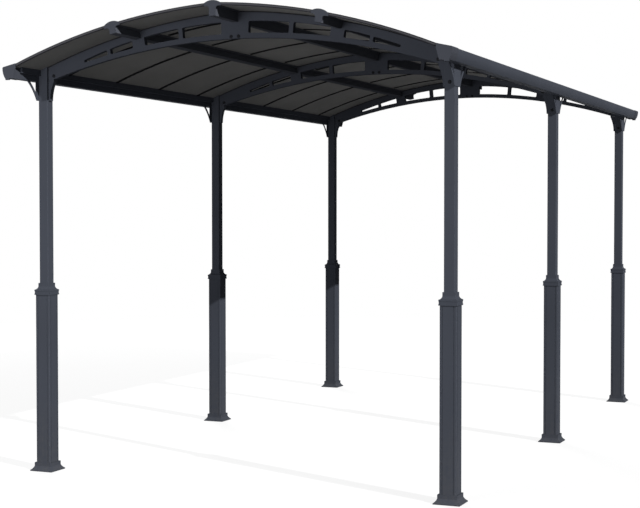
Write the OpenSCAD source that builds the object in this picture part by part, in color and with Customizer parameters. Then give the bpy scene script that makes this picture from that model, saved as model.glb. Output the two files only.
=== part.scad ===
// Carport with an arched roof on six posts.
// X runs across, Y along (front is -Y), Z up. The origin is on the ground, in the middle.

/* [Overall] */
// Spacing of the post rows along the length, centre to centre
bay = 2250; // [1700:10:2600]
// Spacing of the posts across the width, centre to centre
post_span = 2543; // [2300:1:3000]
// Roof overhang past the first and last post rows
overhang = 295; // [200:5:400]
// Height of the gutter undersides over the ground
eave_h = 2335; // [2000:5:2500]
// Rise of the roof from the posts to the ridge
roof_rise = 290; // [240:1:340]
// Distance of each roof half's centre past the middle, which points the ridge
peak = 180; // [60:5:260]

/* [Posts] */
// Width of the square post tube
tube_w = 60; // [52:0.5:68]
// Wall of the post tube
tube_wall = 2; // [1.5:0.1:4]
// Radius of the post tube's edges
tube_r = 3; // [2.5:0.25:6]
// Width of the square sleeve over the lower post
sleeve_w = 95; // [86:0.5:104]
// Wall of the sleeve
sleeve_wall = 2.5; // [2:0.1:4]
// Radius of the sleeve's edges
sleeve_r = 4; // [3.5:0.25:8]
// Height of the collar's lower edge over the ground
collar_z = 1059; // [800:1:1300]
// Width of the grooves down the sleeve faces
groove_w = 5; // [2:0.5:8]
// Depth of the grooves down the sleeve faces
groove_d = 1.5; // [0.5:0.1:1.8]
// Distance of a groove from the middle of its face
groove_off = 32; // [22:0.5:36]
// Clearance between a sleeve or a tube and what slides over it
slip = 0.2; // [0.1:0.05:0.3]

/* [Feet] */
// Width of the square base plate
foot_w = 150; // [136:1:176]
// Thickness of the base plate
foot_plate = 6; // [5:0.5:10]
// Height of the hollow flare over the base plate
foot_flare = 24; // [18:0.5:30]
// Radius of the flare's hollow curve
flare_r = 46; // [36:1:80]
// Height of the plain ring over the flare
foot_ring = 21; // [16:0.5:30]
// Wall of the plain ring around the sleeve
foot_wall = 8; // [6:0.5:10]

/* [Collars] */
// Height of the collar's skirt around the sleeve top
skirt_h = 30; // [24:0.5:36]
// Wall of the skirt at its rims
skirt_wall = 5; // [4:0.25:7]
// Depth of the waist between the skirt's two rims
skirt_waist = 1.5; // [0.5:0.25:2.5]
// Height of each rim of the skirt
skirt_rim = 8; // [5:0.5:10]
// Height of the bell between skirt and upper ring
bell_h = 23; // [18:0.5:28]
// Height of the upper ring around the post
neck_h = 18; // [12:0.5:24]
// Wall of the upper ring around the post
neck_wall = 5.5; // [4:0.25:7]
// Depth of the sleeve in the collar's skirt
sleeve_in = 26; // [20:0.5:28]

/* [Arches] */
// Depth of an arch at the ridge
arch_depth = 155; // [145:1:180]
// Thickness of an arch along the carport
arch_t = 30; // [24:1:45]
// Height of an arch's lower edge over the gutter undersides, at the post
arch_foot = 0; // [-4:0.5:8]
// Depth of the upper chord at the ridge
chord_top = 58; // [54:1:66]
// Depth of the lower chord
chord_low = 29; // [22:1:36]
// Solid end of an arch beside each post
heel = 206; // [180:1:260]
// Distance from the post to where the chords would meet
chord_meet = 132; // [115:1:145]
// Width of the plate under the ridge
ridge_plate = 171; // [140:1:220]
// Width of the plates under the side purlins
side_plate = 84; // [80:1:120]
// Width of the inner struts
strut_in = 26; // [20:1:40]
// Width of the outer struts
strut_out = 21; // [16:1:34]
// Radius of the corners of the cut-outs
window_r = 8; // [4:0.5:10]
// Gap between roof pieces that lie on one another
lay = 0.3; // [0.2:0.05:0.5]

/* [Post heads] */
// Height of a post head
head_h = 114; // [90:1:130]
// Thickness of the outer bracket across the carport
head_t = 4; // [3:0.5:8]
// Reach of a bracket's wing past the post, at its foot
wing_foot = 19; // [12:0.5:22]
// Reach of a bracket's wing past the post, at its top
wing_top = 123; // [100:1:140]
// Radius of a wing's hollow edge
wing_r = 300; // [200:10:420]
// Width of the strap along a wing's hollow edge
strap_t = 16; // [10:0.5:20]
// Reach of the bracket's upright past the post
upright_out = 27; // [23:0.5:32]
// Width of the inner gusset at its top
gusset_top = 38; // [30:1:50]
// Width of the inner gusset at its foot
gusset_foot = 12; // [8:0.5:16]

/* [Roof] */
// Thickness of the roof sheets
panel_t = 6; // [4:0.5:10]
// Thickness of the web between two sheets
seam_web = 4; // [3:0.5:8]
// Width of a seam bar's flanges
seam_w = 24; // [16:1:36]
// Thickness of a seam bar's upper flange
seam_t = 2; // [1:0.25:3]
// Depth of a seam bar's rib under the sheets
rib_drop = 5; // [3:0.25:8]
// Height of the edge trims over the sheets' lower faces
trim_up = 13; // [8:0.5:16]
// Depth of the edge trims under the sheets' lower faces
trim_down = 4; // [3:0.5:8]
// Depth of the edge trims along the carport
trim_d = 6; // [4:0.5:10]
// Thickness of the eave cover strips
strip_t = 8; // [4:0.5:12]
// Width of the eave cover strips
strip_w = 44; // [30:1:56]

/* [Purlins] */
// Width of a purlin's cover and of its end caps
cap_w = 100; // [92:1:116]
// Height of a purlin's cover over the sheets' lower faces
cover_rise = 12; // [10:0.5:16]
// Height of a purlin's end caps over the sheets' lower faces
cap_rise = 24; // [20:0.5:30]
// Height of the dome of an end cap
cap_dome = 16; // [10:0.5:18]
// Depth of an end cap's brim under the sheets' lower faces
brim_drop = 8; // [5:0.5:10]
// Radius of the hollow between an end cap's brim and its stem
cove_r = 18; // [12:0.5:22]
// Depth of an end cap along the carport
cap_d = 8; // [6:0.5:18]
// Width of a purlin's stem
stem_w = 38; // [30:0.5:46]
// Depth of a side purlin's stem under the sheets
side_drop = 47; // [40:1:52]
// Depth of the ridge purlin's stem under the sheets
ridge_drop = 62; // [50:1:70]
// Wall of a purlin's stem
stem_wall = 2.5; // [2:0.1:4]
// Width of a purlin's ledges under the sheets
ledge_w = 66; // [58:1:78]
// Thickness of a purlin's ledges
ledge_t = 4; // [3:0.5:6]
// Gap between a purlin and what it passes
pass = 1; // [0.5:0.25:2]

/* [Gutters] */
// Outer overhang of a gutter past the post's outer face
gutter_w = 68; // [60:1:86]
// Height of a gutter's inner wall, up to the sheets
gutter_in_h = 63; // [54:0.5:72]
// Height of a gutter's outer wall
gutter_out_h = 64; // [54:0.5:74]
// Lean of a gutter's curved outer wall
gutter_lean = 18; // [10:0.5:26]
// Height of the upright brow over the curved outer wall
gutter_brow = 8; // [7:0.5:12]
// Radius of a gutter's outer rim
rim_r = 6; // [4:0.25:6.5]
// Width of the lip along a gutter's outer rim
gutter_lip = 14; // [10:0.5:18]
// Wall of a gutter
gutter_wall = 2.5; // [2:0.1:4]
// Height of an end cap's inner corner over the gutter's underside
gcap_h = 84.5; // [78:0.5:92]
// Reach of an end cap inwards from the post's outer face
gcap_in = 19; // [12:0.5:26]
// Length of an end cap along the gutter
gcap_len = 105; // [80:1:130]
// Length of an end cap along the gutter's inner wall, at the top
gcap_back = 45; // [30:1:60]
// Wall of an end cap's skirt
gcap_skin = 2; // [1.5:0.1:3]
// Height of the drip foot under an end cap
gcap_foot = 10; // [6:0.5:16]
// Length of the drip foot along the gutter
gcap_drip = 12; // [8:1:30]
// Width of the drip foot across the gutter
drip_w = 26; // [18:1:34]
// Thickness of the end caps
end_t = 4; // [3:0.5:6]
// Depth of the rails under the sheets' low edges, inwards from the gutters
rail_d = 16; // [10:0.5:22]
// Height of the rails
rail_h = 34; // [20:1:44]

/* [Hidden] */
fine = 720;
small = 64;
panels = 9;
half_span = post_span / 2;
x_in = half_span - tube_w / 2;
x_out = half_span + tube_w / 2;
y_end = bay + overhang;
z_eave = eave_h + gutter_in_h;
z_apex = z_eave + roof_rise;
x_far = x_out + peak;
roof_fall = (x_far * x_far - peak * peak - roof_rise * roof_rise) / (2 * roof_rise);
r_roof = sqrt(x_far * x_far + roof_fall * roof_fall);
zc_roof = z_eave - roof_fall;
function z_roof(x) = zc_roof + sqrt(r_roof * r_roof - pow(abs(x) + peak, 2));
post_top = z_roof(x_in);
tube_bore = tube_w - 2 * tube_wall;
sleeve_bore = sleeve_w - 2 * sleeve_wall;
foot_top = foot_plate + foot_flare + foot_ring;
sleeve_top = collar_z + sleeve_in;
ring_w = sleeve_w + 2 * slip + 2 * foot_wall;
skirt_w = sleeve_w + 2 * slip + 2 * skirt_wall;
neck_w = tube_w + 2 * slip + 2 * neck_wall;
neck_z = skirt_h + bell_h;
collar_h = neck_z + neck_h;
z_low = z_apex - arch_depth;
low_fall = z_low - eave_h - arch_foot;
r_low = (x_in * x_in + low_fall * low_fall) / (2 * low_fall);
zc_low = z_low - r_low;
r_void_low = r_low + chord_low;
x_meet = x_in - chord_meet;
z_void = z_apex - chord_top;
void_fall = z_void - zc_low - sqrt(r_void_low * r_void_low - x_meet * x_meet);
r_void = (x_meet * x_meet + void_fall * void_fall) / (2 * void_fall);
zc_void = z_void - r_void;
purlin_x = post_span / 4;
purlin_a = asin((purlin_x + peak) / r_roof);
w_ridge = ridge_plate / 2;
w_side_in = purlin_x - side_plate / 2;
w_side_out = purlin_x + side_plate / 2;
w_end = x_in - heel;
w_strut_in = w_ridge + 0.52 * (w_side_in - w_ridge);
w_strut_out = w_side_out + 0.48 * (w_end - w_side_out);
windows = [
    [w_ridge, w_strut_in - strut_in / 2],
    [w_strut_in + strut_in / 2, w_side_in],
    [w_side_out, w_strut_out - strut_out / 2],
    [w_strut_out + strut_out / 2, w_end]
];
z_head = eave_h - head_h;
trim_end = y_end - cap_d;
panel_half = trim_end - trim_d;
pitch = 2 * panel_half / panels;
x_edge = x_out + 28;
x_strip = x_edge - strip_w;
open_w = stem_w / 2 + pass;
seam_from = cap_w / 2 + pass;
ridge_sink = z_apex - z_roof(ledge_w / 2);
gutter_x0 = x_out + lay;
gutter_x1 = x_out + gutter_w;
gutter_drop = gutter_out_h - gutter_brow;
r_gutter = (gutter_lean * gutter_lean + gutter_drop * gutter_drop) / (2 * gutter_lean);
gutter_top = z_roof(gutter_x0 + gutter_wall) - lay;
rail_low = z_roof(x_out - rail_d) - rail_h;
rail_lean = (gcap_len - gcap_back) / (gutter_top + 1 - eave_h);
rail_from = gcap_back + rail_lean * (gutter_top + 1 - rail_low) + pass;
x_seam = min(x_strip, x_out - rail_d) - pass;
trim_from = ledge_w / 2 + pass;
steel = [0.23, 0.25, 0.29];
sheet = [0.33, 0.34, 0.33];
cover = [0.33, 0.35, 0.40];

// Places a piece at one post. s is the side, r the row from the front.
module at_post(s, r) {
    translate([s * half_span, r * bay, 0])
        children();
}

// Turns a piece made for the right side over to side s.
module on_side(s) {
    if (s > 0) {
        children();
    } else {
        mirror([1, 0, 0])
            children();
    }
}

// Square block with its middle on the Z axis.
module block(w, z0, z1) {
    translate([-w / 2, -w / 2, z0])
        cube([w, w, z1 - z0]);
}

// Stands an X-Z outline up and gives it a length along Y.
module along(y0, y1) {
    translate([0, y1, 0])
        rotate([90, 0, 0])
            linear_extrude(height = y1 - y0)
                children();
}

// Outline spun by a quarter turn into a four-sided moulding.
module four_sided(w) {
    intersection() {
        along(-w, w)
            children();
        rotate([0, 0, 90])
            along(-w, w)
                children();
    }
}

// Square block with rounded upright edges and its middle on the Z axis.
module round_block(w, r, z0, z1) {
    translate([0, 0, z0])
        linear_extrude(height = z1 - z0) {
            translate([r - w / 2, -w / 2])
                square([w - 2 * r, w]);
            translate([-w / 2, r - w / 2])
                square([w, w - 2 * r]);
            for (a = [0, 90, 180, 270])
                rotate([0, 0, a])
                    translate([w / 2 - r, w / 2 - r])
                        circle(r = r, $fn = small);
        }
}

// Tube of a post on side s, cut along the roof at its top.
module post_tube(s) {
    color(steel)
        intersection() {
            difference() {
                round_block(tube_w, tube_r, foot_plate, post_top);
                round_block(tube_bore, tube_r - tube_wall / 2, foot_plate - 1, post_top + 1);
            }
            translate([-s * half_span, 0, 0])
                along(-tube_w, tube_w)
                    roof_disc(-lay);
        }
}

module sleeve() {
    color(steel)
        difference() {
            round_block(sleeve_w, sleeve_r, foot_plate, sleeve_top);
            round_block(sleeve_bore, sleeve_r - sleeve_wall / 2, foot_plate - 1, sleeve_top + 1);
            for (a = [0, 90, 180, 270])
                for (g = [-groove_off, groove_off])
                    rotate([0, 0, a])
                        translate([g - groove_w / 2, -sleeve_w / 2 - 1, foot_plate - 1])
                            cube([groove_w, groove_d + 1, sleeve_top - foot_plate + 2]);
        }
}

// Hollow curve of the foot, from the rim of the base plate up to the ring.
module foot_outline() {
    dx = (foot_w - ring_w) / 2;
    chord = sqrt(dx * dx + foot_flare * foot_flare);
    back = sqrt(flare_r * flare_r - chord * chord / 4) / chord;
    cx = (foot_w + ring_w) / 4 + back * foot_flare;
    cz = foot_plate + foot_flare / 2 + back * dx;
    difference() {
        translate([-foot_w / 2, foot_plate])
            square([foot_w, foot_flare]);
        for (s = [-1, 1])
            translate([s * cx, cz])
                circle(r = flare_r, $fn = fine);
    }
}

module foot() {
    color(steel)
        difference() {
            union() {
                block(foot_w, 0, foot_plate);
                four_sided(foot_w)
                    foot_outline();
                block(ring_w, foot_plate + foot_flare, foot_top);
            }
            block(sleeve_w + 2 * slip, foot_plate, foot_top + 1);
        }
}

// Hollow curve of the collar, from the skirt up to the neck.
module bell_outline() {
    difference() {
        translate([-skirt_w / 2, skirt_h])
            square([skirt_w, bell_h]);
        for (s = [-1, 1])
            translate([s * (neck_w / 2 + bell_h), neck_z])
                circle(r = bell_h, $fn = small);
    }
}

module collar() {
    color(steel)
        translate([0, 0, collar_z])
            difference() {
                union() {
                    block(skirt_w, 0, skirt_rim);
                    block(skirt_w - 2 * skirt_waist, skirt_rim, skirt_h - skirt_rim);
                    block(skirt_w, skirt_h - skirt_rim, skirt_h);
                    four_sided(skirt_w)
                        bell_outline();
                    block(neck_w, neck_z, collar_h);
                }
                block(sleeve_w + 2 * slip, -1, sleeve_in);
                block(tube_w + 2 * slip, -1, collar_h + 1);
            }
}

// Outline of the outer bracket in Y-Z: a broad upright and two wings, open beside their straps.
module bracket_outline() {
    y0 = tube_w / 2 + wing_foot;
    y1 = tube_w / 2 + wing_top;
    dy = y1 - y0;
    chord = sqrt(dy * dy + head_h * head_h);
    back = sqrt(wing_r * wing_r - chord * chord / 4);
    cy = (y0 + y1) / 2 + back * head_h / chord;
    cz = z_head + head_h / 2 - back * dy / chord;
    difference() {
        translate([-y1, z_head])
            square([2 * y1, head_h]);
        for (s = [0, 1])
            mirror([s, 0]) {
                translate([cy, cz])
                    circle(r = wing_r, $fn = fine);
                difference() {
                    translate([tube_w / 2 + upright_out, z_head])
                        square([wing_top, head_h + 1]);
                    translate([cy, cz])
                        circle(r = wing_r + strap_t, $fn = fine);
                }
            }
    }
}

// Outline of the inner gusset in X-Z, under the arch and against the post.
module gusset_outline() {
    dx = gusset_top - gusset_foot;
    r = (dx * dx + head_h * head_h) / (2 * dx);
    difference() {
        intersection() {
            translate([x_in - gusset_top, z_head])
                square([gusset_top, head_h + chord_low]);
            translate([0, zc_low])
                circle(r = r_low - lay, $fn = fine);
        }
        translate([x_in - gusset_foot - r, z_head])
            circle(r = r, $fn = fine);
    }
}

module head(s, r) {
    color(steel)
        translate([0, r * bay, 0])
            on_side(s) {
                translate([x_out, 0, 0])
                    rotate([90, 0, 90])
                        linear_extrude(height = head_t)
                            bracket_outline();
                along(-arch_t / 2, arch_t / 2)
                    gusset_outline();
            }
}

// Pointed outline of the roof, v over the sheets' lower faces: what two large circles share.
module roof_disc(v) {
    intersection() {
        translate([-peak, zc_roof])
            circle(r = r_roof + v, $fn = fine);
        translate([peak, zc_roof])
            circle(r = r_roof + v, $fn = fine);
    }
}

// Sets an outline to the place of purlin k on the roof: -1 left, 0 at the ridge, 1 right.
module at_purlin(k) {
    if (k == 0) {
        translate([0, z_apex])
            children();
    } else {
        translate([-k * peak, zc_roof])
            rotate([0, 0, -k * purlin_a])
                translate([0, r_roof])
                    children();
    }
}

// Depth of purlin k's stem, and how far its ledges sink below the point where the sheets meet.
function stem_drop(k) = k == 0 ? ridge_drop : side_drop;
function sink(k) = k == 0 ? ridge_sink : 0;

// Room that the stem and the ledges of purlin k take out of an arch.
module purlin_room(k) {
    translate([-stem_w / 2 - lay, -stem_drop(k) - lay])
        square([stem_w + 2 * lay, stem_drop(k) + 40]);
    translate([-ledge_w / 2 - lay, -ledge_t - sink(k) - 2 * lay])
        square([ledge_w + 2 * lay, 40]);
}

// Height of the room between the chords at x.
function void_h(x) =
    zc_void + sqrt(r_void * r_void - x * x) - zc_low - sqrt(r_void_low * r_void_low - x * x);

// Unit vector of a cut-out's side through x, which points away from the roof's centre.
function side_way(x) = [x, (z_low + z_apex) / 2 - zc_roof] / norm([x, (z_low + z_apex) / 2 - zc_roof]);

// Middle of the round of radius r between the side through x and an arc of radius q about [0, zc].
// s is 1 for a round on the inner side of a cut-out and -1 on its outer side.
function round_mid(x, s, r, zc, q) =
    let (d = side_way(x))
    let (n = s * [d[1], -d[0]])
    let (p = [0, zc_roof - zc] + r * n)
    let (k = p * d)
    p + (sqrt(k * k - p * p + q * q) - k) * d;

// Corner of a cut-out outside its round. e is 1 at the upper chord and -1 at the lower one.
// The round is a hundredth larger than the one that would only touch the side and the chord.
module corner(x, s, e) {
    r = min(window_r, 0.3 * void_h(x));
    zc = e > 0 ? zc_void : zc_low;
    m = round_mid(x, s, r, zc, e > 0 ? r_void - r : r_void_low + r);
    n = s * [side_way(x)[1], -side_way(x)[0]];
    u = e * m / norm(m);
    difference() {
        translate([0, zc])
            polygon([m, m - 2 * r * n, m - 2 * r * n + 2 * r * u, m + 2 * r * u]);
        translate([0, zc])
            translate(m)
                circle(r = 1.01 * r, $fn = small);
    }
}

// One cut-out of an arch, between the chords, with sides that point to the roof's centre.
module window_outline(x0, x1) {
    difference() {
        intersection() {
            difference() {
                translate([0, zc_void])
                    circle(r = r_void, $fn = fine);
                translate([0, zc_low])
                    circle(r = r_void_low, $fn = fine);
            }
            translate([0, zc_roof])
                polygon([
                    (r_roof - 2 * arch_depth) * side_way(x0),
                    (r_roof + arch_depth) * side_way(x0),
                    (r_roof + arch_depth) * side_way(x1),
                    (r_roof - 2 * arch_depth) * side_way(x1)
                ]);
        }
        for (e = [-1, 1]) {
            corner(x0, 1, e);
            corner(x1, -1, e);
        }
    }
}

module arch_outline() {
    difference() {
        intersection() {
            roof_disc(-lay);
            translate([-x_in, eave_h - head_h])
                square([2 * x_in, 2 * arch_depth + roof_rise + head_h]);
        }
        translate([0, zc_low])
            circle(r = r_low, $fn = fine);
        for (k = [-1, 0, 1])
            at_purlin(k)
                purlin_room(k);
        for (w = windows) {
            window_outline(w[0], w[1]);
            mirror([1, 0])
                window_outline(w[0], w[1]);
        }
    }
}

module arch(r) {
    color(steel)
        translate([0, r * bay, 0])
            along(-arch_t / 2, arch_t / 2)
                arch_outline();
}

// Outer form of a gutter, grown by g on every side: flat back and floor, curved front, round rim.
module gutter_form(g) {
    zb = eave_h + gutter_drop;
    wide = gutter_x1 - gutter_x0 + 2 * g;
    intersection() {
        translate([gutter_x1 - r_gutter, zb])
            circle(r = r_gutter + g, $fn = fine);
        translate([gutter_x0 - g, eave_h - g])
            square([wide + r_gutter, gutter_drop + g]);
    }
    translate([gutter_x0 - g, zb])
        square([wide - rim_r - g, gutter_brow + g]);
    translate([gutter_x0 - g, zb])
        square([wide, gutter_brow - rim_r]);
    translate([gutter_x1 - rim_r, zb + gutter_brow - rim_r])
        circle(r = rim_r + g, $fn = small);
}

// Room over a gutter's inner wall and between that wall and the lip of the rim.
module gutter_mouth() {
    translate([x_out - gutter_w, gutter_top])
        square([2 * gutter_w - gutter_lip, gutter_out_h]);
    translate([gutter_x0 + gutter_wall, eave_h + gutter_drop])
        square([gutter_x1 - gutter_lip - gutter_x0 - gutter_wall, gutter_out_h]);
}

module gutter(s) {
    color(steel)
        on_side(s)
            along(-y_end + end_t, y_end - end_t)
                difference() {
                    gutter_form(0);
                    gutter_form(-gutter_wall);
                    gutter_mouth();
                }
}

// Outline of a gutter's end plate, which rises over the edge of the roof.
module end_plate_outline() {
    g = gcap_skin + lay;
    gutter_form(g);
    polygon([
        [gutter_x0 - g, eave_h - g],
        [gutter_x0 + gutter_w / 2, eave_h - g],
        [gutter_x1 - rim_r, eave_h + gutter_drop],
        [gutter_x1 - rim_r, eave_h + gutter_out_h + g],
        [x_out - gcap_in, eave_h + gcap_h],
        [x_out - gcap_in, eave_h + gcap_h - 24]
    ]);
}

// End cap at the front of the right gutter: plate, skirt with a slanted inner edge, drip foot.
module gutter_cap() {
    y0 = -y_end;
    along(y0, y0 + end_t)
        end_plate_outline();
    difference() {
        along(y0 + end_t / 2, y0 + gcap_len)
            difference() {
                gutter_form(gcap_skin + lay);
                gutter_form(lay);
                gutter_mouth();
            }
        translate([x_out - gutter_w, 0, 0])
            rotate([90, 0, 90])
                linear_extrude(height = gutter_w + lay)
                    polygon([
                        [y0 + gcap_back, gutter_top + 1],
                        [y0 + gcap_len, eave_h],
                        [y0 + gcap_len + 1, eave_h],
                        [y0 + gcap_len + 1, gutter_top + 1]
                    ]);
    }
    translate([gutter_x1 - gutter_lean - drip_w, y0, eave_h - gcap_foot])
        cube([drip_w, gcap_drip, gcap_foot - lay]);
}

module gutter_caps() {
    color(cover)
        for (s = [-1, 1])
            on_side(s) {
                gutter_cap();
                mirror([0, 1, 0])
                    gutter_cap();
            }
}

// Plate of width w from z0 up to z1, with its top domed by h.
module domed(w, z0, z1, h) {
    r = (w * w / 4 + h * h) / (2 * h);
    intersection() {
        translate([-w / 2, z0])
            square([w, z1 - z0]);
        translate([0, z1 - r])
            circle(r = r, $fn = fine);
    }
}

// Outline of purlin k about the sheets' lower faces: low cover, hollow stem and two ledges.
module purlin_outline(k) {
    difference() {
        union() {
            domed(cap_w, panel_t + lay, cover_rise, (cover_rise - panel_t) / 2);
            translate([-stem_w / 2, -stem_drop(k)])
                square([stem_w, stem_drop(k) + panel_t + 2]);
            translate([-ledge_w / 2, -ledge_t - sink(k) - lay])
                square([ledge_w, ledge_t]);
        }
        translate([-stem_w / 2 + stem_wall, -stem_drop(k) + stem_wall])
            square([stem_w - 2 * stem_wall, stem_drop(k) + panel_t - stem_wall]);
    }
}

module purlin(k) {
    color(steel)
        along(-trim_end, trim_end)
            at_purlin(k)
                purlin_outline(k);
}

// Outline of purlin k's end cap: domed brim that runs down into the stem in two hollow curves.
module end_cap_outline(k) {
    domed(cap_w, -brim_drop, cap_rise, cap_dome);
    translate([-stem_w / 2, -stem_drop(k)])
        square([stem_w, stem_drop(k)]);
    difference() {
        translate([-stem_w / 2 - cove_r, -brim_drop - cove_r])
            square([stem_w + 2 * cove_r, cove_r]);
        for (s = [-1, 1])
            translate([s * (stem_w / 2 + cove_r), -brim_drop - cove_r])
                circle(r = cove_r, $fn = small);
    }
}

module purlin_caps() {
    color(cover)
        for (k = [-1, 0, 1]) {
            along(-y_end, -trim_end)
                at_purlin(k)
                    end_cap_outline(k);
            along(trim_end, y_end)
                at_purlin(k)
                    end_cap_outline(k);
        }
}

// Curved band of the roof from v0 to v1 over the sheets' lower faces, between x0 and x1,
// kept cut_w away from the middle of each purlin.
module band(v0, v1, x0, x1, cut_w) {
    difference() {
        intersection() {
            roof_disc(v1);
            translate([x0, eave_h])
                square([x1 - x0, 2 * roof_rise + arch_depth]);
        }
        roof_disc(v0);
        for (k = [-1, 0, 1])
            at_purlin(k)
                translate([-cut_w, -100])
                    square([2 * cut_w, 200]);
    }
}

module panel_strip(x0, x1) {
    color(sheet)
        for (i = [0 : panels - 1]) {
            y0 = -panel_half + i * pitch;
            lo = i == 0 ? y0 : y0 + seam_web / 2 + lay;
            hi = i == panels - 1 ? y0 + pitch : y0 + pitch - seam_web / 2 - lay;
            along(lo, hi)
                band(0, panel_t, x0, x1, open_w);
        }
}

// One seam bar: a web between two sheets, with a flange over them and a rib under them.
module seam_bar(y, x0, x1) {
    along(y - seam_web / 2, y + seam_web / 2)
        band(-rib_drop, panel_t + lay + seam_t, x0, x1, seam_from);
    along(y - seam_w / 2, y + seam_w / 2)
        band(panel_t + lay, panel_t + lay + seam_t, x0, x1, seam_from);
    along(y - seam_w / 2, y + seam_w / 2)
        band(-rib_drop, -lay, x0, x1, seam_from);
}

module seam_bars() {
    xs = [-x_seam, -purlin_x, 0, purlin_x, x_seam];
    color(steel)
        for (i = [1 : panels - 1])
            for (j = [0 : 3])
                seam_bar(-panel_half + i * pitch, xs[j], xs[j + 1]);
}

module trim(s) {
    x_last = min(x_out - gcap_in, x_strip) - pass;
    xs = [-x_last, -purlin_x, 0, purlin_x, x_last];
    y0 = s < 0 ? -trim_end : panel_half;
    color(steel)
        for (j = [0 : 3])
            along(y0, y0 + trim_d)
                band(-trim_down, trim_up, xs[j], xs[j + 1], trim_from);
}

module eave_strips() {
    color(steel)
        for (s = [-1, 1])
            on_side(s)
                along(-y_end + end_t, y_end - end_t)
                    band(panel_t + lay, panel_t + lay + strip_t, x_strip, x_edge, open_w);
}

// Rails between the posts, under the sheets' low edges and against the gutters' inner walls.
module eave_rails() {
    side = tube_w / 2 + pass;
    spans = [
        [-y_end + rail_from, -bay - side],
        [-bay + side, -side],
        [side, bay - side],
        [bay + side, y_end - rail_from]
    ];
    color(steel)
        for (s = [-1, 1], y = spans)
            on_side(s)
                along(y[0], y[1])
                    intersection() {
                        roof_disc(-lay);
                        translate([x_out - rail_d, rail_low])
                            square([rail_d, 2 * rail_h]);
                    }
}

at_post(-1, -1) post_tube(-1);  // post_left_front
at_post(-1, 0) post_tube(-1);  // post_left_middle
at_post(-1, 1) post_tube(-1);  // post_left_back
at_post(1, -1) post_tube(1);  // post_right_front
at_post(1, 0) post_tube(1);  // post_right_middle
at_post(1, 1) post_tube(1);  // post_right_back
at_post(-1, -1) sleeve();  // sleeve_left_front
at_post(-1, 0) sleeve();  // sleeve_left_middle
at_post(-1, 1) sleeve();  // sleeve_left_back
at_post(1, -1) sleeve();  // sleeve_right_front
at_post(1, 0) sleeve();  // sleeve_right_middle
at_post(1, 1) sleeve();  // sleeve_right_back
at_post(-1, -1) foot();  // foot_left_front
at_post(-1, 0) foot();  // foot_left_middle
at_post(-1, 1) foot();  // foot_left_back
at_post(1, -1) foot();  // foot_right_front
at_post(1, 0) foot();  // foot_right_middle
at_post(1, 1) foot();  // foot_right_back
for (r = [-1, 0, 1]) at_post(-1, r) collar();  // collars_left
for (r = [-1, 0, 1]) at_post(1, r) collar();  // collars_right
head(-1, -1);  // head_left_front
head(-1, 0);  // head_left_middle
head(-1, 1);  // head_left_back
head(1, -1);  // head_right_front
head(1, 0);  // head_right_middle
head(1, 1);  // head_right_back
arch(-1);  // arch_front
arch(0);  // arch_middle
arch(1);  // arch_back
gutter(-1);  // gutter_left
gutter(1);  // gutter_right
purlin(0);  // purlin_ridge
purlin(-1);  // purlin_left
purlin(1);  // purlin_right
panel_strip(-x_edge, -purlin_x);  // panels_left_low
panel_strip(-purlin_x, 0);  // panels_left_high
panel_strip(0, purlin_x);  // panels_right_high
panel_strip(purlin_x, x_edge);  // panels_right_low
seam_bars();
trim(-1);  // trim_front
trim(1);  // trim_back
eave_strips();
eave_rails();
gutter_caps();
purlin_caps();
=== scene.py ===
import math

import bpy
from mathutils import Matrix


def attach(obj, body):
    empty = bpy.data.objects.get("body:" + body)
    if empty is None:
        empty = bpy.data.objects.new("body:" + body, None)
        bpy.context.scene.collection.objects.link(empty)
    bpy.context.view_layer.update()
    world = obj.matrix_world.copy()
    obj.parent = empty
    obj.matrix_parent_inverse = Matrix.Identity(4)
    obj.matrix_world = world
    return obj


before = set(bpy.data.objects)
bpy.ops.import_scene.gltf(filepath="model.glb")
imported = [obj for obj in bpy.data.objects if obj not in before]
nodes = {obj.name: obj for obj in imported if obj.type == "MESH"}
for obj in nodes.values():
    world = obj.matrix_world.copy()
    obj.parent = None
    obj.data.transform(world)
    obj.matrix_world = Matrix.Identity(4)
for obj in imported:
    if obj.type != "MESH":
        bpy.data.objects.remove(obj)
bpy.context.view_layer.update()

# Sizes of the carport, in metres, as in the part's source
BAY = 2.25
POST_SPAN = 2.543
TUBE_W = 0.060
EAVE_H = 2.335
GUTTER_IN_H = 0.063
ROOF_RISE = 0.290
PEAK = 0.180
ARCH_T = 0.030
PANEL_T = 0.006
TRIM_UP = 0.013
TRIM_DOWN = 0.004

# Circle that one half of the roof follows along the sheets' lower faces, from those sizes
X_FAR = POST_SPAN / 2 + TUBE_W / 2 + PEAK
ROOF_FALL = (X_FAR ** 2 - PEAK ** 2 - ROOF_RISE ** 2) / (2 * ROOF_RISE)
ROOF_R = math.hypot(X_FAR, ROOF_FALL)
ROOF_MID_Z = EAVE_H + GUTTER_IN_H - ROOF_FALL

# Camera of the photograph: place in metres, turn to the left and dip in degrees, lens in millimetres
CAMERA_PLACE = (3.596, -9.523, 1.552)
CAMERA_TURN = 22.96
CAMERA_DIP = 1.655
CAMERA_LENS = 80.4
CAMERA_SENSOR = 36.0
CAMERA_REACH = 500.0

# Bolts, in metres: washer, domed head with its steps of rise and narrowing, hexagon socket
WASHER_R = 0.0105
WASHER_T = 0.0016
WASHER_ROUND = 0.0004
HEAD_R = 0.0080
HEAD_H = 0.0024
DOME_STEPS = ((0.0009, 0.90), (0.0007, 0.80))
SOCKET_R = 0.0034
SOCKET_SIDES = 6
SOCKET_FLOOR = WASHER_T + 0.0020
SOCKET_CUT = 0.0040
ROUND_SIDES = 36
FACES_UP = 0.9
SMOOTH_ANGLE = 35

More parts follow.
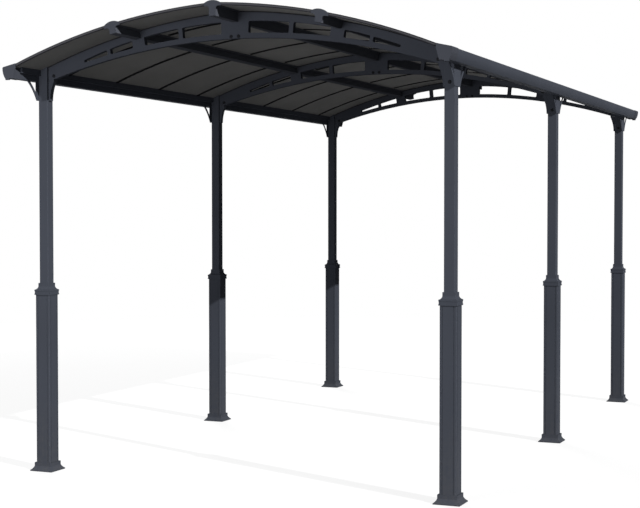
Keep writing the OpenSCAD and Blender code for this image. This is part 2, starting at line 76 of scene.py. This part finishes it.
# Places of the bolts: beside the ridge, inwards from the posts over the eaves, and down the posts
RIDGE_BOLT_X = 0.023
RIDGE_BOLT_Z = 2.5445
HEEL_BOLT_IN = 0.038
HEEL_BOLT_UP = 0.032
POST_BOLT_DOWN = 0.092
HEEL_BOLT_X = POST_SPAN / 2 - TUBE_W / 2 - HEEL_BOLT_IN
HEEL_BOLT_Z = EAVE_H + HEEL_BOLT_UP
POST_BOLT_Z = EAVE_H - POST_BOLT_DOWN

# Even sky: strength and tint
SKY = 0.12
SKY_TINT = (0.95, 0.98, 1.0, 1)
WHITE = (1, 1, 1, 1)

# Floor: size, share of light thrown back up, shade and glow as seen, and where it fades to white
FLOOR_R = 120.0
FLOOR_SIDES = 96
FLOOR_DROP = 0.001
FLOOR_BOUNCE = 0.13
FLOOR_PALE = 0.25
FLOOR_GLOW = 0.83
FADE_FROM = 5.0
FADE_TO = 11.0

# Lamps: bearing from the front towards the right, lift, distance, size and power
LAMP_AIM = (0, 0, 1.3)
LAMPS = (
    ("key", 65.5, 26.9, 90.0, 0.6, 76000.0),
    ("front fill", -8.0, 3.0, 7.6, 2.8, 142.0),
    ("behind", 220.0, 28.0, 24.0, 8.0, 3300.0),
)

# Colours of the finishes, linear
ANTHRACITE = (0.068, 0.075, 0.094, 1)
ARCH_GREY = (0.066, 0.072, 0.090, 1)
# painted light: the purlins get a grey lighter than the anthracite, for light that reaches their shaded
# sides
PURLIN_PAINTED_LIGHT_GREY = (0.098, 0.104, 0.124, 1)
GUTTER_CAP_GREY = (0.067, 0.072, 0.088, 1)
PURLIN_CAP_GREY = (0.064, 0.069, 0.085, 1)
BOLT_BLACK = (0.020, 0.021, 0.025, 1)
# this black is the seam bars' colour and also the painted shade line along the arches' tops
SEAM_AND_SHADE_BLACK = (0.017, 0.017, 0.019, 1)
# the trim is dark at its edges and paler in the middle; its dark lower edge is painted shade under the
# trim
TRIM_DARK = (0.026, 0.026, 0.031, 1)
TRIM_PALE = (0.080, 0.080, 0.088, 1)
SHEET_UPPER = (0.070, 0.072, 0.066, 1)
# painted light: the sheets' lower face is paler, standing for light that comes through the sheet
SHEET_LOWER_PAINTED_LIGHT = (0.200, 0.198, 0.195, 1)
DUST = (0.16, 0.15, 0.135, 1)

# Grain of the finishes: how fine each pattern is, per metre
CLOUD_GRAIN = 1.7
SPECKLE_GRAIN = 620.0
PEEL_GRAIN = 260.0
GLOSS_GRAIN = 5.0
DUST_GRAIN = 24.0
DUST_RUNS = (90.0, 90.0, 3.0)
SHEET_CLOUD_GRAIN = 0.9
SHEET_GLOSS_GRAIN = 7.0

# Sheets: spacing of their inner walls, and the margin between the upper face's colour and the lower
# face's paler colour, which is painted light coming through the sheet
SHEET_WALL_PITCH = 0.0105
SHEET_MARGIN = 0.0005

# Arches: depth of the painted line of shade under the sheets, where they lie on the arches
ARCH_PAINTED_SHADE_DEPTH = 0.008


def add(tree, kind, **settings):
    """Puts a node into a tree and sets its properties."""
    node = tree.nodes.new(kind)
    for key, value in settings.items():
        setattr(node, key, value)
    return node


def noise(tree, where, scale, detail=2.0, roughness=0.5):
    """A noise texture that reads the given coordinates."""
    node = add(tree, "ShaderNodeTexNoise")
    node.inputs["Scale"].default_value = scale
    node.inputs["Detail"].default_value = detail
    node.inputs["Roughness"].default_value = roughness
    tree.links.new(where, node.inputs["Vector"])
    return node.outputs["Fac"]


def remap(tree, value, low, high, to_low, to_high):
    """Stretches a value from one range to another, held at the ends."""
    node = add(tree, "ShaderNodeMapRange")
    tree.links.new(value, node.inputs["Value"])
    node.inputs["From Min"].default_value = low
    node.inputs["From Max"].default_value = high
    node.inputs["To Min"].default_value = to_low
    node.inputs["To Max"].default_value = to_high
    return node.outputs["Result"]


def spread_noise(tree, value, to_low, to_high):
    """Stretches the range that noise mostly fills to another one."""
    return remap(tree, value, 0.3, 0.7, to_low, to_high)


def math_of(tree, operation, first, second=0.0):
    """One operation on two values, each a socket or a number."""
    node = add(tree, "ShaderNodeMath", operation=operation)
    for slot, value in ((0, first), (1, second)):
        if isinstance(value, (int, float)):
            node.inputs[slot].default_value = value
        else:
            tree.links.new(value, node.inputs[slot])
    return node.outputs[0]


def mix_colour(tree, factor, first, second, blend="MIX"):
    """Mixes two colours, each a socket or a fixed colour."""
    node = add(tree, "ShaderNodeMix", data_type="RGBA", blend_type=blend)
    for slot, value in ((0, factor), (6, first), (7, second)):
        if isinstance(value, (int, float, tuple)):
            node.inputs[slot].default_value = value
        else:
            tree.links.new(value, node.inputs[slot])
    return node.outputs[2]


def object_place(tree):
    """Object coordinates, which are the carport's own frame in metres."""
    return add(tree, "ShaderNodeTexCoord").outputs["Object"]


def split_axes(tree, where):
    """The X, Y and Z of coordinates, as named outputs."""
    node = add(tree, "ShaderNodeSeparateXYZ")
    tree.links.new(where, node.inputs[0])
    return node.outputs


def stretched(tree, where, scale):
    """Coordinates scaled by axis, for a pattern that is long one way."""
    node = add(tree, "ShaderNodeMapping")
    node.inputs["Scale"].default_value = scale
    tree.links.new(where, node.inputs["Vector"])
    return node.outputs["Vector"]


def grey_of(tree, tone):
    """A grey with one value in all its channels."""
    node = add(tree, "ShaderNodeCombineColor")
    for pale_half_width in range(3):
        tree.links.new(tone, node.inputs[pale_half_width])
    return node.outputs[0]


def new_group(name, inputs, outputs):
    """An empty shader node group with named sockets. Returns it with its two end nodes."""
    group = bpy.data.node_groups.new(name, "ShaderNodeTree")
    for label, kind in inputs:
        group.interface.new_socket(label, in_out="INPUT", socket_type="NodeSocket" + kind)
    for label, kind in outputs:
        group.interface.new_socket(label, in_out="OUTPUT", socket_type="NodeSocket" + kind)
    return group, add(group, "NodeGroupInput"), add(group, "NodeGroupOutput")


def make_powder_group():
    """Powder coat: cloudy tone, fine speckle, orange-peel height and a roughness that varies."""
    group, ins, outs = new_group(
        "powder coat",
        [("Colour", "Color"), ("Speckle", "Float"), ("Roughness", "Float")],
        [("Colour", "Color"), ("Roughness", "Float"), ("Height", "Float")],
    )
    where = object_place(group)
    cloud = spread_noise(group, noise(group, where, CLOUD_GRAIN, 3.0), 0.95, 1.05)
    speckle = noise(group, where, SPECKLE_GRAIN, 1.0)
    peel = noise(group, where, PEEL_GRAIN, 2.0)
    spot = math_of(group, "MULTIPLY", math_of(group, "SUBTRACT", speckle, 0.5), ins.outputs["Speckle"])
    tone = grey_of(group, math_of(group, "ADD", cloud, spot))
    colour = mix_colour(group, 1.0, ins.outputs["Colour"], tone, "MULTIPLY")
    gloss = spread_noise(group, noise(group, where, GLOSS_GRAIN, 4.0), -0.05, 0.06)
    roughness = math_of(group, "ADD", ins.outputs["Roughness"], gloss)
    height = math_of(group, "ADD", peel, math_of(group, "MULTIPLY", speckle, 0.4))
    group.links.new(colour, outs.inputs["Colour"])
    group.links.new(roughness, outs.inputs["Roughness"])
    group.links.new(height, outs.inputs["Height"])
    return group


def make_dust_group():
    """Dust mask: heavier near the ground, patchy, with faint runs down the faces."""
    group, ins, outs = new_group("dust", [("Reach", "Float"), ("Amount", "Float")], [("Mask", "Float")])
    where = object_place(group)
    height = math_of(group, "DIVIDE", split_axes(group, where)["Z"], ins.outputs["Reach"])
    low = remap(group, height, 0.0, 1.0, 1.0, 0.0)
    patch = remap(group, noise(group, where, DUST_GRAIN, 5.0, 0.65), 0.35, 0.75, 0.0, 1.0)
    streak = noise(group, stretched(group, where, DUST_RUNS), 1.0, 2.0)
    runs = remap(group, streak, 0.45, 0.8, 0.0, 0.5)
    low_patch = math_of(group, "MULTIPLY", low, patch)
    low_runs = math_of(group, "MULTIPLY", low, runs)
    both = math_of(group, "ADD", low_patch, low_runs)
    group.links.new(math_of(group, "MULTIPLY", both, ins.outputs["Amount"]), outs.inputs["Mask"])
    return group


def new_material(name):
    """A material with its shader linked to its output, and nothing else."""
    material = bpy.data.materials.new(name)
    material.use_nodes = True
    tree = material.node_tree
    tree.nodes.clear()
    shader = add(tree, "ShaderNodeBsdfPrincipled")
    output = add(tree, "ShaderNodeOutputMaterial")
    tree.links.new(shader.outputs[0], output.inputs["Surface"])
    return material, tree, shader


def bump(tree, shader, height, strength, distance):
    """Turns a height into the shader's normal."""
    node = add(tree, "ShaderNodeBump")
    node.inputs["Strength"].default_value = strength
    node.inputs["Distance"].default_value = distance
    tree.links.new(height, node.inputs["Height"])
    tree.links.new(node.outputs["Normal"], shader.inputs["Normal"])


def powder_skin(tree, colour, speckle, roughness):
    """Places the powder coat in a material with its own values."""
    skin = add(tree, "ShaderNodeGroup", node_tree=POWDER)
    skin.inputs["Colour"].default_value = colour
    skin.inputs["Speckle"].default_value = speckle
    skin.inputs["Roughness"].default_value = roughness
    return skin.outputs


def over_sheets(tree, where):
    """Height over the sheets' lower faces, square to the curved half of the roof."""
    axes = split_axes(tree, where)
    out = math_of(tree, "ADD", math_of(tree, "ABSOLUTE", axes["X"]), PEAK)
    rise = math_of(tree, "SUBTRACT", axes["Z"], ROOF_MID_Z)
    out_squared = math_of(tree, "MULTIPLY", out, out)
    rise_squared = math_of(tree, "MULTIPLY", rise, rise)
    from_centre = math_of(tree, "SQRT", math_of(tree, "ADD", out_squared, rise_squared))
    return math_of(tree, "SUBTRACT", from_centre, ROOF_R)


def coated_metal(name, colour, roughness=0.5, speckle=0.25, dust=0.0, reach=0.4, shine=0.002, painted_shade_depth=0.0):
    """Powder-coated metal, with dust near the ground and a painted line of shade where the sheets lie on
    it.
    """
    material, tree, shader = new_material(name)
    skin = powder_skin(tree, colour, speckle, roughness)
    film = add(tree, "ShaderNodeGroup", node_tree=DUST_FILM)
    film.inputs["Reach"].default_value = reach
    film.inputs["Amount"].default_value = dust
    colour = mix_colour(tree, film.outputs["Mask"], skin["Colour"], DUST)
    if painted_shade_depth:
        # painted shade: a dark line just under the sheets stands for the shadow where they lie on the
        # arch
        line = remap(tree, over_sheets(tree, object_place(tree)), -painted_shade_depth, -painted_shade_depth / 2, 0.0, 1.0)
        colour = mix_colour(tree, line, colour, SEAM_AND_SHADE_BLACK)
    tree.links.new(colour, shader.inputs["Base Color"])
    tree.links.new(skin["Roughness"], shader.inputs["Roughness"])
    shader.inputs["Specular IOR Level"].default_value = shine
    bump(tree, shader, skin["Height"], strength=0.10, distance=0.0006)
    return material


def edge_trim(name):
    """Coated edge trim, darker along its upper and lower edges and paler between them; the dark lower
    edge is painted shade under the trim.
    """
    material, tree, shader = new_material(name)
    skin = powder_skin(tree, TRIM_DARK, speckle=0.2, roughness=0.5)
    height = over_sheets(tree, object_place(tree))
    middle = (TRIM_UP - TRIM_DOWN) / 2
    pale_half_width = (TRIM_UP + TRIM_DOWN) / 4
    from_middle = math_of(tree, "ABSOLUTE", math_of(tree, "SUBTRACT", height, middle))
    # painted shade: the dark band at the trim's lower edge stands for the shade under it
    line = remap(tree, from_middle, pale_half_width - 0.0015, pale_half_width + 0.0005, 1.0, 0.0)
    tree.links.new(mix_colour(tree, line, skin["Colour"], TRIM_PALE), shader.inputs["Base Color"])
    tree.links.new(skin["Roughness"], shader.inputs["Roughness"])
    shader.inputs["Specular IOR Level"].default_value = 0.0
    bump(tree, shader, skin["Height"], strength=0.08, distance=0.0005)
    return material


def roof_sheet(name):
    """Smoked multi-wall sheet: its thin walls show as faint lines, and its lower face is painted paler,
    as painted light coming through the sheet.
    """
    material, tree, shader = new_material(name)
    where = object_place(tree)
    along = math_of(tree, "MULTIPLY", split_axes(tree, where)["Y"], 2 * math.pi / SHEET_WALL_PITCH)
    walls = math_of(tree, "SINE", along)
    lines = remap(tree, walls, -1.0, 1.0, 0.95, 1.04)
    cloud = spread_noise(tree, noise(tree, where, SHEET_CLOUD_GRAIN, 3.0), 0.92, 1.08)
    tone = grey_of(tree, math_of(tree, "MULTIPLY", lines, cloud))
    # painted light: the lower face takes the paler colour, for light that comes through the sheet
    lower_face_painted_light = remap(tree, over_sheets(tree, where), SHEET_MARGIN, PANEL_T - SHEET_MARGIN, 1.0, 0.0)
    base = mix_colour(tree, lower_face_painted_light, SHEET_UPPER, SHEET_LOWER_PAINTED_LIGHT)
    tree.links.new(mix_colour(tree, 1.0, base, tone, "MULTIPLY"), shader.inputs["Base Color"])
    gloss = spread_noise(tree, noise(tree, where, SHEET_GLOSS_GRAIN, 3.0), 0.30, 0.42)
    roughness = math_of(tree, "ADD", gloss, math_of(tree, "MULTIPLY", lower_face_painted_light, 0.4))
    tree.links.new(roughness, shader.inputs["Roughness"])
    shader.inputs["Specular IOR Level"].default_value = 0.03
    bump(tree, shader, walls, strength=0.06, distance=0.0003)
    return material


POWDER = make_powder_group()
DUST_FILM = make_dust_group()

FINISHES = {
    "post_": coated_metal("post coat", ANTHRACITE),
    "sleeve_": coated_metal("sleeve coat", ANTHRACITE, 0.52, dust=0.20, reach=0.5),
    "foot_": coated_metal("foot coat", ANTHRACITE, 0.54, dust=0.22, reach=0.12),
    "collars_": coated_metal("collar coat", ANTHRACITE, 0.54, speckle=0.15),
    "head_": coated_metal("head coat", ANTHRACITE, 0.52),
    "arch_": coated_metal("arch coat", ARCH_GREY, 0.54, shine=0.0, painted_shade_depth=ARCH_PAINTED_SHADE_DEPTH),
    "gutter_caps": coated_metal("gutter cap grey", GUTTER_CAP_GREY, 0.56, speckle=0.12),
    "gutter_": coated_metal("gutter coat", ANTHRACITE, 0.50),
    "purlin_caps": coated_metal("purlin cap grey", PURLIN_CAP_GREY, 0.56, speckle=0.12),
    # painted light: the purlin coat is lighter than the other coats, for light on its shaded sides
    "purlin_": coated_metal("purlin coat", PURLIN_PAINTED_LIGHT_GREY, 0.50, shine=0.0),
    "panels_": roof_sheet("smoked roof sheet"),
    "seam_": coated_metal("seam coat", SEAM_AND_SHADE_BLACK, 0.50, shine=0.0),
    "trim_": edge_trim("edge trim coat"),
    "eave_": coated_metal("eave strip coat", ANTHRACITE, 0.50),
}

BOLT_COAT = coated_metal("black bolt", BOLT_BLACK, 0.45, speckle=0.2, shine=0.03)


def finish_nodes():
    """Gives each CAD node its finish, by the first name that fits."""
    for name, node in nodes.items():
        finish = next(look for start, look in FINISHES.items() if name.startswith(start))
        node.data.materials.clear()
        node.data.materials.append(finish)


def pick_piece(piece):
    """Selects one piece alone and makes it the active one."""
    bpy.ops.object.select_all(action="DESELECT")
    piece.select_set(True)
    bpy.context.view_layer.objects.active = piece


def pick_faces(mesh, test):
    """In edit mode, selects the faces whose middle and normal pass a test, and no others."""
    bpy.ops.mesh.select_mode(type="FACE")
    bpy.ops.mesh.select_all(action="DESELECT")
    bpy.ops.object.mode_set(mode="OBJECT")
    for face in mesh.polygons:
        face.select = test(face.center, face.normal)
    bpy.ops.object.mode_set(mode="EDIT")


def raise_faces(height, narrow=1.0):
    """Extrudes the picked faces upwards and narrows the new ones about the bolt's axis."""
    bpy.ops.mesh.extrude_region_move(TRANSFORM_OT_translate={"value": (0, 0, height)})
    bpy.ops.transform.resize(value=(narrow, narrow, 1), center_override=(0, 0, 0))


def model_bolt():
    """One bolt that points up from the origin: washer, domed head and hexagon socket."""
    bpy.ops.object.select_all(action="DESELECT")
    bpy.ops.mesh.primitive_cylinder_add(
        vertices=ROUND_SIDES, radius=WASHER_R, depth=WASHER_T, location=(0, 0, WASHER_T / 2)
    )
    bolt = bpy.context.object
    bpy.ops.object.transform_apply(location=True, rotation=True, scale=True)
    bpy.ops.object.mode_set(mode="EDIT")
    pick_faces(bolt.data, lambda middle, normal: normal.z > FACES_UP)
    bpy.ops.mesh.bevel(offset=WASHER_ROUND, segments=2, affect="EDGES")
    pick_faces(bolt.data, lambda middle, normal: normal.z > FACES_UP and middle.xy.length < WASHER_ROUND)
    bpy.ops.mesh.inset(thickness=WASHER_R - WASHER_ROUND - HEAD_R)
    raise_faces(HEAD_H)
    for rise, narrow in DOME_STEPS:
        raise_faces(rise, narrow)
    bpy.ops.object.mode_set(mode="OBJECT")
    bpy.ops.object.select_all(action="DESELECT")
    bpy.ops.mesh.primitive_cylinder_add(
        vertices=SOCKET_SIDES, radius=SOCKET_R, depth=SOCKET_CUT,
        location=(0, 0, SOCKET_FLOOR + SOCKET_CUT / 2)
    )
    socket = bpy.context.object
    pick_piece(bolt)
    cut = bolt.modifiers.new("socket", "BOOLEAN")
    cut.operation = "DIFFERENCE"
    cut.object = socket
    bpy.ops.object.modifier_apply(modifier=cut.name)
    pick_piece(socket)
    bpy.ops.object.delete()
    return bolt


def set_bolts(bolt, name, places):
    """Copies the bolt to its places, each with the way it faces along Y, and joins the copies."""
    copies = []
    for x, y, z, way in places:
        pick_piece(bolt)
        bpy.ops.object.duplicate(linked=False)
        copy = bpy.context.object
        copy.location = (x, y, z)
        copy.rotation_euler = (math.radians(-90 * way), 0, 0)
        bpy.ops.object.transform_apply(location=True, rotation=True, scale=True)
        copies.append(copy)
    pick_piece(copies[0])
    for copy in copies:
        copy.select_set(True)
    bpy.ops.object.join()
    bpy.ops.object.transform_apply(location=True, rotation=True, scale=True)
    bpy.ops.object.shade_smooth_by_angle(angle=math.radians(SMOOTH_ANGLE))
    piece = bpy.context.object
    piece.name = name
    piece.data.materials.clear()
    piece.data.materials.append(BOLT_COAT)
    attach(piece, "root")


def add_bolts():
    """Bolts through the arches' ridge plates and heels, and through the right posts, on both faces."""
    bolt = model_bolt()
    for row, place in ((-1, "front"), (0, "middle"), (1, "back")):
        arch_places = []
        post_places = []
        for way in (-1, 1):
            arch_y = row * BAY + way * ARCH_T / 2
            post_y = row * BAY + way * TUBE_W / 2
            for side in (-1, 1):
                arch_places.append((side * RIDGE_BOLT_X, arch_y, RIDGE_BOLT_Z, way))
                arch_places.append((side * HEEL_BOLT_X, arch_y, HEEL_BOLT_Z, way))
            post_places.append((POST_SPAN / 2, post_y, POST_BOLT_Z, way))
        set_bolts(bolt, "arch_bolts_" + place, arch_places)
        set_bolts(bolt, "post_bolts_" + place, post_places)
    pick_piece(bolt)
    bpy.ops.object.delete()


def set_camera():
    """The photograph's camera."""
    data = bpy.data.cameras.new("photo view")
    data.lens = CAMERA_LENS
    data.sensor_width = CAMERA_SENSOR
    data.clip_end = CAMERA_REACH
    camera = bpy.data.objects.new("photo view", data)
    camera.location = CAMERA_PLACE
    camera.rotation_euler = (math.radians(90 - CAMERA_DIP), 0, math.radians(CAMERA_TURN))
    bpy.context.scene.collection.objects.link(camera)
    bpy.context.scene.camera = camera


def is_seen(tree):
    """1 for rays that show the background: from the camera, off gloss and through clear pieces."""
    path = add(tree, "ShaderNodeLightPath")
    seen = math_of(tree, "MAXIMUM", path.outputs["Is Camera Ray"], path.outputs["Is Glossy Ray"])
    return math_of(tree, "MAXIMUM", seen, path.outputs["Is Transmission Ray"])


def mix_shaders(tree, factor, first, second):
    """Mixes two shaders by a value."""
    node = add(tree, "ShaderNodeMixShader")
    for slot, value in enumerate((factor, first, second)):
        tree.links.new(value, node.inputs[slot])
    return node.outputs[0]


def set_world():
    """White behind the carport, and a dim even sky that lights it."""
    world = bpy.data.worlds.new("studio")
    world.use_nodes = True
    tree = world.node_tree
    tree.nodes.clear()
    sky = add(tree, "ShaderNodeBackground")
    sky.inputs["Color"].default_value = SKY_TINT
    sky.inputs["Strength"].default_value = SKY
    white = add(tree, "ShaderNodeBackground")
    white.inputs["Color"].default_value = WHITE
    white.inputs["Strength"].default_value = 1.0
    output = add(tree, "ShaderNodeOutputWorld")
    both = mix_shaders(tree, is_seen(tree), sky.outputs[0], white.outputs[0])
    tree.links.new(both, output.inputs["Surface"])
    bpy.context.scene.world = world


def matt(tree, tone):
    """A matt grey shader."""
    node = add(tree, "ShaderNodeBsdfDiffuse")
    node.inputs["Color"].default_value = (tone, tone, tone, 1)
    return node.outputs[0]


def glowing(tree, strength):
    """A white shader that gives off light."""
    node = add(tree, "ShaderNodeEmission")
    node.inputs["Strength"].default_value = strength
    return node.outputs[0]


def set_floor():
    """A wide pale floor that keeps a faint shadow, throws little light up and is white far away."""
    bpy.ops.object.select_all(action="DESELECT")
    bpy.ops.mesh.primitive_circle_add(
        vertices=FLOOR_SIDES, radius=FLOOR_R, fill_type="NGON", location=(0, 0, -FLOOR_DROP)
    )
    floor = bpy.context.object
    floor.name = "floor"
    material = bpy.data.materials.new("pale floor")
    material.use_nodes = True
    tree = material.node_tree
    tree.nodes.clear()
    near = add(tree, "ShaderNodeAddShader")
    tree.links.new(matt(tree, FLOOR_PALE), near.inputs[0])
    tree.links.new(glowing(tree, FLOOR_GLOW), near.inputs[1])
    reach = add(tree, "ShaderNodeVectorMath", operation="LENGTH")
    tree.links.new(object_place(tree), reach.inputs[0])
    fade = remap(tree, reach.outputs["Value"], FADE_FROM, FADE_TO, 0.0, 1.0)
    shown = mix_shaders(tree, fade, near.outputs[0], glowing(tree, 1.0))
    both = mix_shaders(tree, is_seen(tree), matt(tree, FLOOR_BOUNCE), shown)
    output = add(tree, "ShaderNodeOutputMaterial")
    tree.links.new(both, output.inputs["Surface"])
    floor.data.materials.append(material)


def add_lamp(name, bearing, lift, distance, size, power):
    """A square lamp that faces the carport, at a bearing from the front towards the right."""
    flat = distance * math.cos(math.radians(lift))
    place = (
        LAMP_AIM[0] + flat * math.sin(math.radians(bearing)),
        LAMP_AIM[1] - flat * math.cos(math.radians(bearing)),
        LAMP_AIM[2] + distance * math.sin(math.radians(lift)),
    )
    data = bpy.data.lights.new(name, "AREA")
    data.shape = "SQUARE"
    data.size = size
    data.energy = power
    lamp = bpy.data.objects.new(name, data)
    lamp.location = place
    lamp.rotation_euler = (math.radians(90 - lift), 0, math.radians(bearing))
    lamp.visible_camera = False
    bpy.context.scene.collection.objects.link(lamp)


def set_lamps():
    """Key from the right, a near fill in front, and a lamp behind on the left for the hidden sides."""
    for lamp in LAMPS:
        add_lamp(*lamp)


finish_nodes()
add_bolts()
set_camera()
set_world()
set_floor()
set_lamps()

bpy.context.scene.view_settings.view_transform = "Standard"
